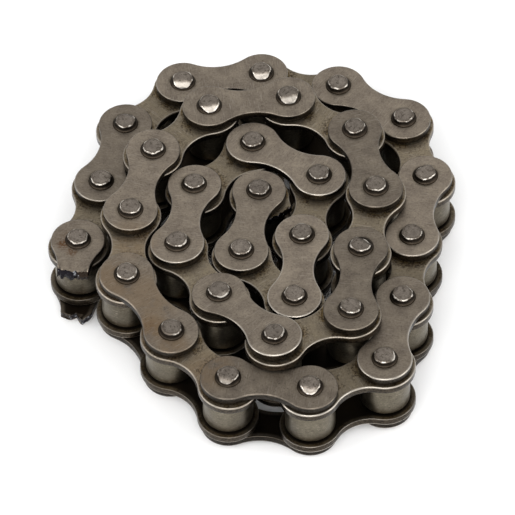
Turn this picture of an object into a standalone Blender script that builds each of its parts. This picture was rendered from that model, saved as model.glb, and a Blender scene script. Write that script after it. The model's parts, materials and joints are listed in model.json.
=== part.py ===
"""Loose heap of roller chain: one cut length of half-inch chain, lying flat and wound inward.

Pins are numbered along the chain from its outer cut end. Link k joins pin k and pin k + 1: an even
link is an outer one, two plates pressed on two pins, and an odd link is an inner one, two plates
pressed on two bushings. The first and the last link are cut through their waist. The outer turn
lies on the floor, the second turn has climbed onto its plates, and the middle has sunk part way.
"""
import math

import bmesh
import bpy
from mathutils import Matrix, Vector

MM = 0.001

# The chain, by its driving sizes
PITCH = 12.7 * MM
PIN_RADIUS = 1.79 * MM
PIN_LENGTH = 13.7 * MM
ROLLER_RADIUS = 3.885 * MM
ROLLER_BORE_RADIUS = 2.95 * MM
BUSHING_RADIUS = 2.55 * MM
BUSHING_BORE_RADIUS = 2.1 * MM
PLATE_THICKNESS = 1.25 * MM
INNER_WIDTH = 6.38 * MM
SIDE_GAP = 0.25 * MM
OUTER_LOBE_RADIUS = 4.3 * MM
OUTER_WAIST = 2.5 * MM
INNER_LOBE_RADIUS = 4.8 * MM
INNER_WAIST = 2.65 * MM

# Half heights above and below the chain's middle plane, worked out from the sizes above
INNER_FACE = INNER_WIDTH / 2
INNER_BACK = INNER_FACE + PLATE_THICKNESS
OUTER_FACE = INNER_BACK + SIDE_GAP
OUTER_BACK = OUTER_FACE + PLATE_THICKNESS
PIN_END = PIN_LENGTH / 2
ROLLER_END = INNER_FACE - SIDE_GAP

# How the chain lies: the heading of link 1, link 2 and so on to link 32, in whole degrees
HEADINGS = (
    73, 72, 43, 6, -15, -37, -77, -102, -99, -105, -157,
    170, 133, 122, 86, 73, 44, 6, -36, -77, -103, -99, -157,
    131, 120, 77, 43, -36, -104, -97, 129, 76,
)
CUT_OUTER_HEADING = 262
CUT_INNER_HEADING = -55

# The climb onto the outer turn and the drop into the middle: link number, degrees of lean
CLIMB_TOWARDS = 120
CLIMB_LEAN = {12: 2.2, 13: 4.4, 14: 5.1, 15: 3.0, 16: 2.0}
DROP_TOWARDS = 125
DROP_LEAN = {23: -1.0, 24: -3.2, 25: -2.0, 26: -2.2}

# Cut ends: how far from the last pin each plate was cut, across its width from one edge to the other
UPPER_OUTER_CUT = (6.1, 6.4, 6.3)
LOWER_OUTER_CUT = (6.0, 6.6, 6.1, 7.3, 5.6)
UPPER_INNER_CUT = (4.6, 5.0, 4.7)
LOWER_INNER_CUT = (4.8, 4.6, 4.9)

# Facets of the round shapes, and the angle from which an edge is sharp
LOBE_STEPS = 9
WAIST_STEPS = 3
CUT_STEPS = 2
ROUND_SIDES = 12
SHARP_ANGLE = 40

# The rollers that are pieces of their own, from the outer end; the others are one with their link
LOOSE_ROLLERS = 26
PIN_COUNT = len(HEADINGS) + 1

# Steel of the plates with their pins or bushings, and of the rollers: linear colour, roughness
OUTER_STEEL = ((0.205, 0.180, 0.150), 0.42)
INNER_STEEL = ((0.195, 0.172, 0.130), 0.48)
ROLLER_STEEL = ((0.230, 0.215, 0.190), 0.38)


def clear_scene():
    """Remove what a new file holds."""
    for old in list(bpy.data.objects):
        bpy.data.objects.remove(old, do_unlink=True)


def steel(name, colour, roughness):
    """Plain metal of one colour."""
    material = bpy.data.materials.new(name)
    material.use_nodes = True
    shader = material.node_tree.nodes["Principled BSDF"]
    shader.inputs["Base Color"].default_value = (*colour, 1.0)
    shader.inputs["Roughness"].default_value = roughness
    shader.inputs["Metallic"].default_value = 1.0
    return material


def arc(centre, radius, start, end, steps):
    """Points along an arc, both ends included."""
    points = []
    for i in range(steps + 1):
        angle = start + (end - start) * i / steps
        points.append(Vector((centre[0] + radius * math.cos(angle), centre[1] + radius * math.sin(angle))))
    return points


def circle(centre_x, radius):
    """Points of a full circle on the link's centre line."""
    points = arc((centre_x, 0.0), radius, 0.0, 2 * math.pi, ROUND_SIDES)
    return points[:-1]


def waist_arc(lobe, waist):
    """Centre height, radius and tangent angle of the hollow that joins two lobes."""
    half = PITCH / 2
    radius = (half ** 2 + waist ** 2 - lobe ** 2) / (2 * (lobe - waist))
    height = waist + radius
    return height, radius, math.atan2(height, half)


def plate_outline(lobe, waist):
    """A whole plate: two lobes about the pins, with a smooth hollow on each side."""
    height, radius, tangent = waist_arc(lobe, waist)
    middle = PITCH / 2
    near_lobe = arc((0.0, 0.0), lobe, tangent, 2 * math.pi - tangent, LOBE_STEPS)
    lower_hollow = arc((middle, -height), radius, math.pi - tangent, tangent, WAIST_STEPS)
    far_lobe = arc((PITCH, 0.0), lobe, tangent - math.pi, math.pi - tangent, LOBE_STEPS)
    upper_hollow = arc((middle, height), radius, -tangent, tangent - math.pi, WAIST_STEPS)
    return near_lobe + lower_hollow[1:-1] + far_lobe + upper_hollow[1:-1]


def hollow_as_far_as(lobe, waist, distance):
    """The lower hollow of a cut plate, from its lobe to the torn edge."""
    height, radius, tangent = waist_arc(lobe, waist)
    middle = PITCH / 2
    reach = math.acos((distance - middle) / radius)
    return arc((middle, -height), radius, math.pi - tangent, reach, CUT_STEPS)


def cut_outline(lobe, waist, cut):
    """A plate cut across near its waist, with the torn edge given across its width."""
    tangent = waist_arc(lobe, waist)[2]
    near_lobe = arc((0.0, 0.0), lobe, tangent, 2 * math.pi - tangent, LOBE_STEPS)
    lower_hollow = hollow_as_far_as(lobe, waist, cut[0] * MM)
    upper_hollow = [Vector((point.x, -point.y)) for point in hollow_as_far_as(lobe, waist, cut[-1] * MM)]
    upper_hollow.reverse()
    low, high = lower_hollow[-1].y, upper_hollow[0].y
    torn = []
    for i, distance in enumerate(cut[1:-1], start=1):
        torn.append(Vector((distance * MM, low + (high - low) * i / (len(cut) - 1))))
    return near_lobe + lower_hollow[1:] + torn + upper_hollow[:-1]


class Solid:
    """A closed mesh built from rings of points at chosen heights."""

    def __init__(self):
        self.bm = bmesh.new()

    def ring(self, points, height):
        verts = [self.bm.verts.new((point.x, point.y, height)) for point in points]
        for i, vert in enumerate(verts):
            self.bm.edges.new((vert, verts[(i + 1) % len(verts)]))
        return verts

    def column(self, points, heights):
        """Rings joined by walls, from the lowest height to the highest."""
        rings = [self.ring(points, height) for height in heights]
        for low, high in zip(rings, rings[1:]):
            self.wall(low, high)
        return rings

    def wall(self, low, high):
        count = len(low)
        for i in range(count):
            j = (i + 1) % count
            self.bm.faces.new((low[i], low[j], high[j], high[i]))

    def cap(self, *rings):
        """A flat face bounded by the first ring, with the other rings as its holes."""
        edges = []
        for verts in rings:
            for i, vert in enumerate(verts):
                edges.append(self.bm.edges.get((vert, verts[(i + 1) % len(verts)])))
        bmesh.ops.triangle_fill(self.bm, edges=edges, use_beauty=True, use_dissolve=False)

    def finish(self, name, material):
        bmesh.ops.recalc_face_normals(self.bm, faces=self.bm.faces[:])
        mesh = bpy.data.meshes.new(name)
        self.bm.to_mesh(mesh)
        self.bm.free()
        mesh.materials.append(material)
        mesh.shade_smooth()
        mesh.set_sharp_from_angle(angle=math.radians(SHARP_ANGLE))
        return mesh


def outer_link_mesh(name, lower, upper, pin_places, material):
    """Two plates on their pins, as one pressed assembly."""
    solid = Solid()
    low_plate = solid.column(lower, (-OUTER_BACK, -OUTER_FACE))
    high_plate = solid.column(upper, (OUTER_FACE, OUTER_BACK))
    ends, shafts, tops = [], [], []
    for place in pin_places:
        points = circle(place, PIN_RADIUS)
        ends.append(solid.column(points, (-PIN_END, -OUTER_BACK)))
        shafts.append(solid.column(points, (-OUTER_FACE, OUTER_FACE)))
        tops.append(solid.column(points, (OUTER_BACK, PIN_END)))
    solid.cap(low_plate[0], *[end[1] for end in ends])
    solid.cap(low_plate[1], *[shaft[0] for shaft in shafts])
    solid.cap(high_plate[0], *[shaft[1] for shaft in shafts])
    solid.cap(high_plate[1], *[top[0] for top in tops])
    for end, top in zip(ends, tops):
        solid.cap(end[0])
        solid.cap(top[1])
    return solid.finish(name, material)


def inner_link_mesh(name, lower, upper, bushing_places, material, with_rollers):
    """Two plates on their bushings, each with a clear bore, and perhaps the rollers as one with them."""
    solid = Solid()
    low_plate = solid.column(lower, (-INNER_BACK, -INNER_FACE))
    high_plate = solid.column(upper, (INNER_FACE, INNER_BACK))
    bores, feet, heads = [], [], []
    for place in bushing_places:
        bore = solid.column(circle(place, BUSHING_BORE_RADIUS), (-INNER_BACK, INNER_BACK))
        points = circle(place, BUSHING_RADIUS)
        if with_rollers:
            foot = solid.column(points, (-INNER_FACE, -ROLLER_END))
            roller = solid.column(circle(place, ROLLER_RADIUS), (-ROLLER_END, ROLLER_END))
            head = solid.column(points, (ROLLER_END, INNER_FACE))
            solid.cap(roller[0], foot[1])
            solid.cap(roller[1], head[0])
        else:
            foot = solid.column(points, (-INNER_FACE, INNER_FACE))
            head = foot
        bores.append(bore)
        feet.append(foot[0])
        heads.append(head[1])
    solid.cap(low_plate[0], *[bore[0] for bore in bores])
    solid.cap(high_plate[1], *[bore[1] for bore in bores])
    solid.cap(low_plate[1], *feet)
    solid.cap(high_plate[0], *heads)
    return solid.finish(name, material)


def roller_mesh(name, material):
    """A plain tube that turns on its bushing."""
    solid = Solid()
    outside = solid.column(circle(0.0, ROLLER_RADIUS), (-ROLLER_END, ROLLER_END))
    bore = solid.column(circle(0.0, ROLLER_BORE_RADIUS), (-ROLLER_END, ROLLER_END))
    solid.cap(outside[0], bore[0])
    solid.cap(outside[1], bore[1])
    return solid.finish(name, material)


def up_direction(link):
    """The normal of a link's plates, which lean where the chain climbs or drops."""
    lean = CLIMB_LEAN.get(link, DROP_LEAN.get(link, 0.0))
    towards = CLIMB_TOWARDS if link in CLIMB_LEAN else DROP_TOWARDS
    tilt, heading = math.radians(lean), math.radians(towards)
    return Vector((
        -math.sin(tilt) * math.cos(heading),
        -math.sin(tilt) * math.sin(heading),
        math.cos(tilt),
    ))


def forward_direction(link, heading):
    """The direction along a link, in the plane of its plates."""
    up = up_direction(link)
    turn = math.radians(heading)
    rise = -(up.x * math.cos(turn) + up.y * math.sin(turn)) / up.z
    return Vector((math.cos(turn), math.sin(turn), rise)).normalized()


def pin_places():
    """The middle of every pin, from the outer end to the inner one."""
    places = [Vector((0.0, 0.0, 0.0))]
    for link, heading in enumerate(HEADINGS, start=1):
        places.append(places[-1] + PITCH * forward_direction(link, heading))
    return places


def frame_at(place, along, up):
    """A frame with its X along a link and its Z along the link's pins."""
    side = up.cross(along)
    rotation = Matrix((along, side, up)).transposed()
    return Matrix.Translation(place) @ rotation.to_4x4()


def put(name, mesh, matrix):
    """One object of the heap."""
    thing = bpy.data.objects.new(name, mesh)
    bpy.context.collection.objects.link(thing)
    thing.matrix_world = matrix
    return thing


def stand_on_floor(things):
    """Move everything so that the heap stands on Z = 0, with its box centred on the origin."""
    bpy.context.view_layer.update()
    corners = [thing.matrix_world @ vert.co for thing in things for vert in thing.data.vertices]
    low = Vector([min(corner[axis] for corner in corners) for axis in range(3)])
    high = Vector([max(corner[axis] for corner in corners) for axis in range(3)])
    shift = Vector((-(low.x + high.x) / 2, -(low.y + high.y) / 2, -low.z))
    for thing in things:
        thing.matrix_world = Matrix.Translation(shift) @ thing.matrix_world


def build():
    clear_scene()
    outer_steel = steel("outer plate steel", *OUTER_STEEL)
    inner_steel = steel("inner plate steel", *INNER_STEEL)
    roller_steel = steel("roller steel", *ROLLER_STEEL)
    outer_plate = plate_outline(OUTER_LOBE_RADIUS, OUTER_WAIST)
    inner_plate = plate_outline(INNER_LOBE_RADIUS, INNER_WAIST)
    both_ends = (0.0, PITCH)
    whole_outer = outer_link_mesh("outer_link", outer_plate, outer_plate, both_ends, outer_steel)
    whole_inner = inner_link_mesh("inner_link", inner_plate, inner_plate, both_ends, inner_steel, False)
    full_inner = inner_link_mesh("inner_link_full", inner_plate, inner_plate, both_ends, inner_steel, True)
    roller = roller_mesh("roller", roller_steel)
    places = pin_places()
    things = []

    # The cut outer link, on pin 1
    lower = cut_outline(OUTER_LOBE_RADIUS, OUTER_WAIST, LOWER_OUTER_CUT)
    upper = cut_outline(OUTER_LOBE_RADIUS, OUTER_WAIST, UPPER_OUTER_CUT)
    cut_outer = outer_link_mesh("outer_link_00_cut", lower, upper, (0.0,), outer_steel)
    along = forward_direction(0, CUT_OUTER_HEADING)
    things.append(put("outer_link_00_cut", cut_outer, frame_at(places[0], along, up_direction(0))))

    # Links 1 to 32, each with its origin on the pin nearer the middle of the heap
    for link, heading in enumerate(HEADINGS, start=1):
        up = up_direction(link)
        back = -forward_direction(link, heading)
        frame = frame_at(places[link], back, up)
        if link % 2 == 0:
            things.append(put(f"outer_link_{link:02d}", whole_outer, frame))
            continue
        loose = link < LOOSE_ROLLERS
        things.append(put(f"inner_link_{link:02d}", whole_inner if loose else full_inner, frame))
        if loose:
            things.append(put(f"roller_{link:02d}", roller, frame_at(places[link - 1], back, up)))
            things.append(put(f"roller_{link + 1:02d}", roller, frame_at(places[link], back, up)))

    # The cut inner link, on the last pin
    lower = cut_outline(INNER_LOBE_RADIUS, INNER_WAIST, LOWER_INNER_CUT)
    upper = cut_outline(INNER_LOBE_RADIUS, INNER_WAIST, UPPER_INNER_CUT)
    cut_inner = inner_link_mesh("inner_link_33_cut", lower, upper, (0.0,), inner_steel, True)
    along = forward_direction(PIN_COUNT, CUT_INNER_HEADING)
    things.append(put("inner_link_33_cut", cut_inner, frame_at(places[-1], along, up_direction(PIN_COUNT))))
    stand_on_floor(things)


build()
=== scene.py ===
"""Looks of a heap of roller chain: one cut length of half-inch chain, wound on a pale floor."""
import json
import math
import random

import bmesh
import bpy
from mathutils import Euler, Matrix, Vector

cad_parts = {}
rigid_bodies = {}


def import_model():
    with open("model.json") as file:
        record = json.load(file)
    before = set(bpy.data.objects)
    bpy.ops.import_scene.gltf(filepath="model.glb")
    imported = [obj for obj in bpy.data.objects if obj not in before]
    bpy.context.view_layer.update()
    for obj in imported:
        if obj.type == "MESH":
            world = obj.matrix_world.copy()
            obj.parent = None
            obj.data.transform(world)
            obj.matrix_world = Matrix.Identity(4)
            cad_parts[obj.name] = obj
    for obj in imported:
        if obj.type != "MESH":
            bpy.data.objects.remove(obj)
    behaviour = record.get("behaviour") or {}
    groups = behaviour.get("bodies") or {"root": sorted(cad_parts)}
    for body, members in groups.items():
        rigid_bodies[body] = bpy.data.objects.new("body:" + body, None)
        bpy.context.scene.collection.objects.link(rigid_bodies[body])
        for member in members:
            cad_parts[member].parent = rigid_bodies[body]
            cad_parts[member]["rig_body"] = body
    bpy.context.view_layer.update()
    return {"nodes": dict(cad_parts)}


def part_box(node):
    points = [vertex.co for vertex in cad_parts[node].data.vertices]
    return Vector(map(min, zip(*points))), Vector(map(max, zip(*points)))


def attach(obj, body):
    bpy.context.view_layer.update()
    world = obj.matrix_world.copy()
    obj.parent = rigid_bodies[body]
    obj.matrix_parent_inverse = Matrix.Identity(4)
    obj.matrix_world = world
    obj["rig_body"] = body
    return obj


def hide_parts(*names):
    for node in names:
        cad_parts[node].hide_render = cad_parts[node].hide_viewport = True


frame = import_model()


# The run of the chain
# One length of chain with 33 pins, a pitch apart, and a link between each two. It has no shape of
# its own here: where each pin stands and how each link is turned are read from the frame.
MM = 0.001
PITCH = 12.7 * MM
PIN_COUNT = 33
LOOSE_ROLLERS = 26
FACES_UP = 0.9

# Where the cut links point from their one pin, in degrees from the X axis
CUT_OUTER_HEADING = 262
CUT_INNER_HEADING = -55


def link_node(link):
    """The frame's node of a link, counted from the outer cut end."""
    kind = "outer" if link % 2 == 0 else "inner"
    cut = "_cut" if link in (0, PIN_COUNT) else ""
    return frame["nodes"][f"{kind}_link_{link:02d}{cut}"]


def roller_node(pin):
    """The frame's node that holds the roller on a pin."""
    if pin <= LOOSE_ROLLERS:
        return frame["nodes"][f"roller_{pin:02d}"]
    return link_node(pin - 1 + pin % 2)


def middle(node):
    low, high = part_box(node.name)
    return (low + high) / 2


def find_pins():
    """The middle of each pin: its roller's, or as far past a link's middle as the pin before."""
    found = {pin: middle(roller_node(pin)) for pin in range(1, LOOSE_ROLLERS + 1)}
    for link in range(LOOSE_ROLLERS, PIN_COUNT):
        found[link + 1] = 2 * middle(link_node(link)) - found[link]
    return found


pins = find_pins()


def plates_up(link):
    """The direction that a link's plates face, from the faces of its node that look up."""
    up = Vector()
    for face in link_node(link).data.polygons:
        if face.normal.z > FACES_UP:
            up += face.normal * face.area
    return up.normalized()


def turned_like(along, up):
    """A turn with its X along a link and its Z along the link's pins."""
    side = up.cross(along).normalized()
    return Matrix((side.cross(up), side, up)).transposed()


def link_turn(link):
    up = plates_up(link)
    if link in (0, PIN_COUNT):
        heading = math.radians(CUT_OUTER_HEADING if link == 0 else CUT_INNER_HEADING)
        return turned_like(Vector((math.cos(heading), math.sin(heading), 0.0)), up)
    return turned_like(pins[link + 1] - pins[link], up)


turns = {link: link_turn(link) for link in range(PIN_COUNT + 1)}
INNER_LINKS = range(1, PIN_COUNT, 2)
OUTER_LINKS = range(2, PIN_COUNT, 2)


# The inner plates
# Two on each inner link, blanked from 1.25 mm carbon steel strip, hardened and tumbled: two round
# lobes on a narrow waist. Bushings pressed into both hold them apart. The side that the punch
# entered has a rolled edge and faces out, and the other edge is nearly sharp.
INNER_LOBE = 4.77 * MM
INNER_WAIST = 2.65 * MM
INNER_WIDTH = 6.38 * MM
BUSHING_RADIUS = 2.55 * MM
PLATE_THICKNESS = 1.25 * MM
INNER_MIDDLE = (INNER_WIDTH + PLATE_THICKNESS) / 2
ROLLED_EDGE = 0.2 * MM
SHARP_EDGE = 0.07 * MM
FLAT_MARGIN = 0.03 * MM
RUBBED_WIDTH = 0.45 * MM
# How far in from the edge the oil and painted shade on a plate's inner face are full
INNER_SHADE_FULL = 0.9 * MM
LOBE_STEPS = 30
HOLLOW_STEPS = 12
HOLE_SIDES = 40
ROLL_STEPS = 4
SHARP_STEPS = 3
SIDE_RINGS = (1.0, 0.35, 0.04)
HOLE_BREAK = 0.1 * MM
BREAK_DEPTH = 0.08 * MM

# What stands for the distance from the edge on a clean face and in the throat of a hole, which
# takes the dark cut-side colour of oil and painted shade
CLEAN = 1 * MM
IN_THROAT = -0.5 * MM


def arc(centre, radius, start, end, steps):
    points = []
    for i in range(steps + 1):
        angle = start + (end - start) * i / steps
        points.append((centre[0] + radius * math.cos(angle), centre[1] + radius * math.sin(angle)))
    return points


def hollow_of(lobe, waist):
    """Height of centre, radius and first angle of the hollow between two lobes."""
    half = PITCH / 2
    radius = (half ** 2 + waist ** 2 - lobe ** 2) / (2 * (lobe - waist))
    return waist + radius, radius, math.atan2(waist + radius, half)


def whole_outline(lobe, waist):
    height, radius, tangent = hollow_of(lobe, waist)
    half = PITCH / 2
    near = arc((0, 0), lobe, tangent, 2 * math.pi - tangent, LOBE_STEPS)
    lower = arc((half, -height), radius, math.pi - tangent, tangent, HOLLOW_STEPS)
    far = arc((PITCH, 0), lobe, tangent - math.pi, math.pi - tangent, LOBE_STEPS)
    upper = arc((half, height), radius, -tangent, tangent - math.pi, HOLLOW_STEPS)
    return near + lower[1:-1] + far + upper[1:-1]


def edge_profile():
    """Round a plate's edge from its inner face to its outer one: the distance inside the edge, the
    height, and for the finish that distance again, or the depth down the cut side, negative."""
    half = PLATE_THICKNESS / 2
    side = PLATE_THICKNESS - ROLLED_EDGE - SHARP_EDGE
    flat = (INNER_SHADE_FULL, RUBBED_WIDTH, SHARP_EDGE + FLAT_MARGIN)
    profile = [(inset, -half, inset) for inset in flat]
    for i in range(SHARP_STEPS):
        angle = math.pi / 2 * i / SHARP_STEPS
        inset = SHARP_EDGE * (1 - math.sin(angle))
        profile.append((inset, -half + SHARP_EDGE * (1 - math.cos(angle)), inset))
    for share in SIDE_RINGS:
        profile.append((0.0, half - ROLLED_EDGE - side * share, -side * share))
    for i in range(ROLL_STEPS + 1):
        angle = math.pi / 2 * i / ROLL_STEPS
        inset = ROLLED_EDGE * (1 - math.cos(angle))
        profile.append((inset, half - ROLLED_EDGE * (1 - math.sin(angle)), inset))
    for inset in (ROLLED_EDGE + FLAT_MARGIN, RUBBED_WIDTH):
        profile.append((inset, half, inset))
    return profile


def join_rings(bm, low, high):
    """A band of faces between two rings of as many points."""
    for i in range(len(low)):
        j = (i + 1) % len(low)
        bm.faces.new((low[i], low[j], high[j], high[i]))


def ring_edges(bm, ring):
    return [bm.edges.get((ring[i], ring[(i + 1) % len(ring)])) for i in range(len(ring))]


def keep(mesh, label, values):
    """Keep a value or a vector at each point of a mesh, for its finish."""
    single = len(values) == len(mesh.vertices)
    kept = mesh.attributes.new(label, "FLOAT" if single else "FLOAT_VECTOR", "POINT")
    kept.data.foreach_set("value" if single else "vector", values)


def keep_places(mesh):
    keep(mesh, "place", [value for vert in mesh.vertices for value in vert.co])


def plate_mesh(name, lobe, waist, hole, centres, outline):
    """A plate with its holes. It keeps two values at each point, for its finish: how far inside the
    edge it is, or how far down the side as a negative value, and its place in the plate."""
    bm = bmesh.new()
    rim_of = {}

    def ring(points, height, rim):
        verts = [bm.verts.new((x, y, height)) for x, y in points]
        for i, vert in enumerate(verts):
            bm.edges.new((vert, verts[(i + 1) % len(verts)]))
            rim_of[vert] = rim
        return verts

    half = PLATE_THICKNESS / 2
    rings = []
    for inset, height, rim in edge_profile():
        rings.append(ring(outline(lobe, waist, inset), height, rim))
    for low, high in zip(rings, rings[1:]):
        join_rings(bm, low, high)
    borders = {-1: ring_edges(bm, rings[0]), 1: ring_edges(bm, rings[-1])}
    for centre in centres:
        throat = []
        for side in (-1, 1):
            flat, lip, neck = [
                ring(arc((centre, 0), hole + wider, 0, 2 * math.pi, HOLE_SIDES)[:-1],
                     side * (half - depth), rim)
                for wider, depth, rim in (
                    (HOLE_BREAK + FLAT_MARGIN, 0, CLEAN), (HOLE_BREAK, 0, CLEAN),
                    (0, BREAK_DEPTH, IN_THROAT))]
            join_rings(bm, flat, lip)
            join_rings(bm, lip, neck)
            borders[side] += ring_edges(bm, flat)
            throat.append(neck)
        join_rings(bm, *throat)
    for edges in borders.values():
        bmesh.ops.triangle_fill(bm, edges=edges, use_beauty=True, use_dissolve=False)
    bmesh.ops.recalc_face_normals(bm, faces=bm.faces[:])
    bm.verts.index_update()
    rims = [rim_of.get(vert, CLEAN) for vert in bm.verts]
    mesh = bpy.data.meshes.new(name)
    bm.to_mesh(mesh)
    bm.free()
    mesh.shade_smooth()
    keep(mesh, "rim", rims)
    keep_places(mesh)
    return mesh


def whole_plate(name, lobe, waist, hole):
    def outline(lobe, waist, inset):
        return whole_outline(lobe - inset, waist - inset)
    return plate_mesh(name, lobe, waist, hole, (0, PITCH), outline)


def add(tree, kind, inputs=None, **settings):
    """A node with its settings. Each input is a value, or the socket that feeds it."""
    made = tree.nodes.new(kind)
    for name, value in settings.items():
        setattr(made, name, value)
    for socket, value in (inputs or {}).items():
        if isinstance(value, bpy.types.NodeSocket):
            tree.links.new(value, made.inputs[socket])
        else:
            made.inputs[socket].default_value = value
    return made


def start_rows(name, inputs):
    """A tree that sets a copy of a piece on each point, turned by the point's own turn, and the
    sockets that go on from there: the inputs, the copies and the turn."""
    tree = bpy.data.node_groups.new(name, "GeometryNodeTree")
    sockets = {"Points": "Geometry", "Piece": "Object", "Seed": "Int", "Steel": "Material"}
    for label, kind in (sockets | inputs).items():
        tree.interface.new_socket(label, in_out="INPUT", socket_type="NodeSocket" + kind)
    tree.interface.new_socket("Mesh", in_out="OUTPUT", socket_type="NodeSocketGeometry")
    given = add(tree, "NodeGroupInput").outputs
    piece = add(tree, "GeometryNodeObjectInfo", {"Object": given["Piece"]})
    angles = add(tree, "GeometryNodeInputNamedAttribute", {"Name": "turn"},
                 data_type="FLOAT_VECTOR").outputs[0]
    turn = add(tree, "FunctionNodeEulerToRotation", {"Euler": angles}).outputs[0]
    copies = add(tree, "GeometryNodeInstanceOnPoints", {
        "Points": given["Points"], "Instance": piece.outputs["Geometry"], "Rotation": turn})
    return tree, given, copies.outputs[0], turn


def make_real(tree, given, copies):
    """Give each copy a random tone, and make the copies real."""
    tone = add(tree, "FunctionNodeRandomValue", {"Seed": given["Seed"]})
    toned = add(tree, "GeometryNodeStoreNamedAttribute", {
        "Name": "tone", "Geometry": copies, "Value": tone.outputs[1]}, domain="INSTANCE")
    return add(tree, "GeometryNodeRealizeInstances", {"Geometry": toned.outputs[0]}).outputs[0]


def finish_rows(tree, given, geometry):
    steeled = add(tree, "GeometryNodeSetMaterial", {
        "Geometry": geometry, "Material": given["Steel"]})
    add(tree, "NodeGroupOutput", {"Mesh": steeled.outputs[0]})


def plate_row_tree():
    """Two plates for each link, one above the chain's middle plane and one turned over below it."""
    tree, given, upper, _ = start_rows("plates along a chain", {"Height": "Float"})
    lower = add(tree, "GeometryNodeRotateInstances", {
        "Instances": upper, "Rotation": (math.pi, 0, 0)})
    both = add(tree, "GeometryNodeJoinGeometry", {"Geometry": upper})
    tree.links.new(lower.outputs[0], both.inputs[0])
    height = add(tree, "ShaderNodeCombineXYZ", {"Z": given["Height"]})
    apart = add(tree, "GeometryNodeTranslateInstances", {
        "Instances": both.outputs[0], "Translation": height.outputs[0]})
    finish_rows(tree, given, make_real(tree, given, apart.outputs[0]))
    return tree


plate_rows = plate_row_tree()


def by_body(links, ends):
    """The joints of links, each a pin and its link, grouped by the body that the links ride on."""
    groups = {}
    for link in links:
        joints = [(pin, link) for pin in ends(link)]
        groups.setdefault(link_node(link)["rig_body"], []).extend(joints)
    return groups


def lay(name, tree, joints, body, inputs, marks=None):
    """Lay copies of a piece at joints of the chain, as one plain mesh that rides on a body. Marks
    are vectors that each joint gives to its copy."""
    points = bpy.data.meshes.new(name)
    points.from_pydata([pins[pin] for pin, link in joints], [], [])
    marks = {"turn": [turns[link].to_euler() for pin, link in joints], **(marks or {})}
    for label, vectors in marks.items():
        values = points.attributes.new(label, "FLOAT_VECTOR", "POINT").data
        values.foreach_set("vector", [part for vector in vectors for part in vector])
    thing = bpy.data.objects.new(name, points)
    bpy.context.collection.objects.link(thing)
    modifier = thing.modifiers.new("laid out", "NODES")
    modifier.node_group = tree
    for item in tree.interface.items_tree:
        if item.in_out == "INPUT" and item.name in inputs:
            modifier[item.identifier] = inputs[item.name]
    bpy.context.view_layer.update()
    seen = thing.evaluated_get(bpy.context.evaluated_depsgraph_get())
    mesh = bpy.data.meshes.new_from_object(seen)
    thing.modifiers.remove(modifier)
    mesh.name = name
    thing.data = mesh
    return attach(thing, body)


def template(name, mesh):
    """A piece to be copied, which is taken out again when its copies are laid."""
    thing = bpy.data.objects.new(name, mesh)
    bpy.context.collection.objects.link(thing)
    return thing


def take_out(thing):
    bpy.data.objects.remove(thing, do_unlink=True)


def linear(code):
    """A hex colour as the screen shows it, turned to linear light."""
    parts = [int(code[i:i + 2], 16) / 255 for i in (0, 2, 4)]
    parts = [part / 12.92 if part <= 0.04045 else ((part + 0.055) / 1.055) ** 2.4 for part in parts]
    return (*parts, 1.0)


# How much the specks count beside the patches, and where the two together reach each tone
SPECK_SHARE = 0.65
DARK_TONE_AT = 0.545
LIGHT_TONE_AT = 1.105


def bare_steel(name, tones, patch, speck, roughness):
    """The start of each steel here: its shader, soft patches and fine specks between two tones. The
    real marks of the grit are finer, and the specks are as coarse as they need to be to show."""
    material = bpy.data.materials.new(name)
    material.use_nodes = True
    tree = material.node_tree
    shader = tree.nodes["Principled BSDF"]
    shader.inputs["Metallic"].default_value = 1.0
    where = add(tree, "ShaderNodeTexCoord").outputs["Object"]
    patches = add(tree, "ShaderNodeTexNoise", {
        "Vector": where, "Scale": 1 / patch, "Detail": 5.0, "Roughness": 0.62}).outputs["Fac"]
    specks = add(tree, "ShaderNodeTexNoise", {
        "Vector": where, "Scale": 1 / speck, "Detail": 2.0}).outputs["Fac"]
    blend = add(tree, "ShaderNodeMath", {
        0: specks, 1: SPECK_SHARE, 2: patches}, operation="MULTIPLY_ADD")
    spread = add(tree, "ShaderNodeMapRange", {
        0: blend.outputs[0], 1: DARK_TONE_AT, 2: LIGHT_TONE_AT})
    colour = add(tree, "ShaderNodeMix", {
        0: spread.outputs[0], 6: linear(tones[0]), 7: linear(tones[1])}, data_type="RGBA")
    rough = add(tree, "ShaderNodeMapRange", {
        0: patches, 1: 0.3, 2: 0.7, 3: roughness[0], 4: roughness[1]})
    return material, shader, where, patches, specks, colour.outputs[2], rough.outputs[0]


def stain(tree, colour, layers):
    """Lay stains over a colour. Each has the value that it follows, where that starts it and where
    it is full, its strength, and its colour."""
    for follows, start, full, strength, code in layers:
        share = add(tree, "ShaderNodeMapRange", {0: follows, 1: start, 2: full, 4: strength},
                    interpolation_type="SMOOTHSTEP")
        colour = add(tree, "ShaderNodeMix", {0: share.outputs[0], 6: colour, 7: linear(code)},
                     data_type="RGBA").outputs[2]
    return colour


# Old rust by the cut end, and oil dried brown beside it: a pin, millimetres across and along from
# it, the reach of the spot in millimetres and its strength. The spots lie this many millimetres
# above the middle of the chain, and are full over this share of their reach.
FILM_HEIGHT = 5.5
FILM_CORE = 0.3
RUST = ((1, -2.35, -0.9, 1.5, 1.0), (1, -1.0, -2.4, 1.4, 0.8), (1, -1.9, 0.3, 2.6, 0.3),
        (14, -3.2, 0.3, 1.8, 0.35))
DRIED_OIL = ((15, -2.2, -2.0, 6.0, 0.7), (14, -3.2, 0.3, 4.5, 0.9), (14, 0.5, -3.4, 3.5, 0.7),
             (14, -3.5, 6.0, 7.0, 0.6), (15, 1.0, 6.5, 5.5, 0.5), (13, -3.0, 1.5, 6.0, 0.6))


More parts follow.
